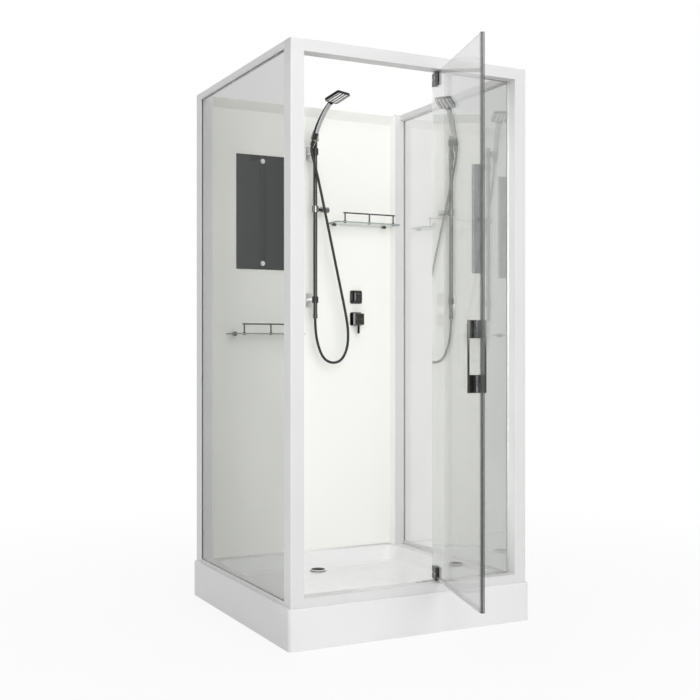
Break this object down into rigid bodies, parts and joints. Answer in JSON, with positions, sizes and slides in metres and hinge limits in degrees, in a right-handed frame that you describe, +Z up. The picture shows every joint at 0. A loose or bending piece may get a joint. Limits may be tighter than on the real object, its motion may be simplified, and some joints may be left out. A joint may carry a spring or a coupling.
{
  "type": "shower cabin",
  "caption": "Square framed shower cabin with grey glass walls, a swinging pivot door, a white tray, riser rail, hand shower with hose, lever mixer, mirror and glass shelves.",
  "frame": {"origin": "on the floor under the middle of the tray", "axes": "+X to the right seen from the door, +Y from the door to the back wall, +Z up"},
  "size_m": [1, 1.4774, 2.1208],
  "materials": {
    "white_acrylic": "gloss",
    "galvanised_steel": "brushed",
    "black_plastic": "matte",
    "grey_plastic": "matte",
    "white_enamel": "white powder coat",
    "white_plastic": "satin",
    "wall_panel": "gloss",
    "grey_glass": "tinted",
    "shelf_glass": "clear",
    "dark_rubber": "matte",
    "clear_seal": "translucent",
    "black_metal": "satin",
    "mirror_glass": "polished",
    "chrome": "polished",
    "bracket_chrome": "satin",
    "plated_plastic": "dark chrome plating",
    "spray_rubber": "matte",
    "hose_sleeve": "satin",
    "brass": "raw"
  },
  "bodies": {
    "cabin": {"shower_tray": "white_acrylic", "tray_support_frame": "galvanised_steel", "lower_pivot_plate": "galvanised_steel", "levelling_feet": "black_plastic", "upper_pivot_bush": "black_plastic", "drain_trap": "grey_plastic", "front_left_post": "white_enamel", "front_right_post": "white_enamel", "rear_left_post": "white_enamel", "rear_right_post": "white_enamel", "front_top_rail": "white_enamel", "rear_top_rail": "white_enamel", "left_top_rail": "white_enamel", "right_top_rail": "white_enamel", "threshold": "white_enamel", "side_sills": "white_enamel", "post_caps": "white_plastic", "mirror_caps": "white_plastic", "post_magnet_strip": "white_plastic", "back_wall": "wall_panel", "left_glass": "grey_glass", "right_glass": "grey_glass", "fixed_glass": "grey_glass", "left_shelf": "shelf_glass", "right_shelf": "shelf_glass", "left_gaskets": "dark_rubber", "right_gaskets": "dark_rubber", "fixed_panel_seal": "clear_seal", "mirror": "mirror_glass", "drain_cover": "chrome", "left_shelf_gallery": "chrome", "right_shelf_gallery": "chrome", "shelf_clips": "chrome", "riser_rail": "chrome", "lower_hose_nut": "chrome", "mixer_plate": "chrome", "diverter_plate": "chrome", "upper_riser_bracket": "bracket_chrome", "lower_riser_bracket": "bracket_chrome", "shower_holder": "plated_plastic", "shower_hose": "hose_sleeve", "valve_body": "brass", "riser_supply_pipe": "brass"},
    "door": {"door_glass": "grey_glass", "upper_hinge": "black_metal", "lower_hinge": "black_metal", "pivot_pins": "galvanised_steel", "outer_handle": "chrome", "inner_handle": "chrome", "handle_bolts": "galvanised_steel", "door_magnet_seal": "dark_rubber", "door_bottom_seal": "clear_seal"},
    "slider": {"slider_body": "plated_plastic"},
    "slider_knob": {"slider_knob": "plated_plastic"},
    "hand_shower": {"hand_shower": "plated_plastic", "spray_plate": "spray_rubber", "upper_hose_nut": "chrome"},
    "diverter": {"diverter_knob": "chrome"},
    "mixer_stem": {"mixer_stem": "chrome"},
    "mixer_lever": {"mixer_lever": "chrome"}
  },
  "joints": [
    {"name": "door_swing", "type": "hinge", "parent": "cabin", "child": "door", "pos_m": [0.12, -0.444, 0.184], "axis": [0, 0, 1], "range_deg": [-74, 16]},
    {"name": "slider_slide", "type": "slide", "parent": "cabin", "child": "slider", "axis": [0, 0, 1], "range_m": [-0.33, 0.19]},
    {"name": "slider_knob_turn", "type": "hinge", "parent": "slider", "child": "slider_knob", "pos_m": [0.0463, 0.4, 1.641], "axis": [1, 0, 0], "range_deg": [0, 180]},
    {"name": "hand_shower_turn", "type": "hinge", "parent": "cabin", "child": "hand_shower", "pos_m": [0.00237, 0.366, 1.9514], "axis": [0.1589, -0.357, 0.9205], "range_deg": [-35, 35]},
    {"name": "diverter_turn", "type": "hinge", "parent": "cabin", "child": "diverter", "pos_m": [0.249, 0.4537, 1.266], "axis": [0, -1, 0], "range_deg": [0, 90]},
    {"name": "mixer_turn", "type": "hinge", "parent": "cabin", "child": "mixer_stem", "pos_m": [0.249, 0.4537, 1.168], "axis": [0, -1, 0], "range_deg": [-40, 40]},
    {"name": "mixer_lift", "type": "hinge", "parent": "mixer_stem", "child": "mixer_lever", "pos_m": [0.249, 0.4374, 1.18], "axis": [-1, 0, 0], "range_deg": [0, 25]}
  ]
}
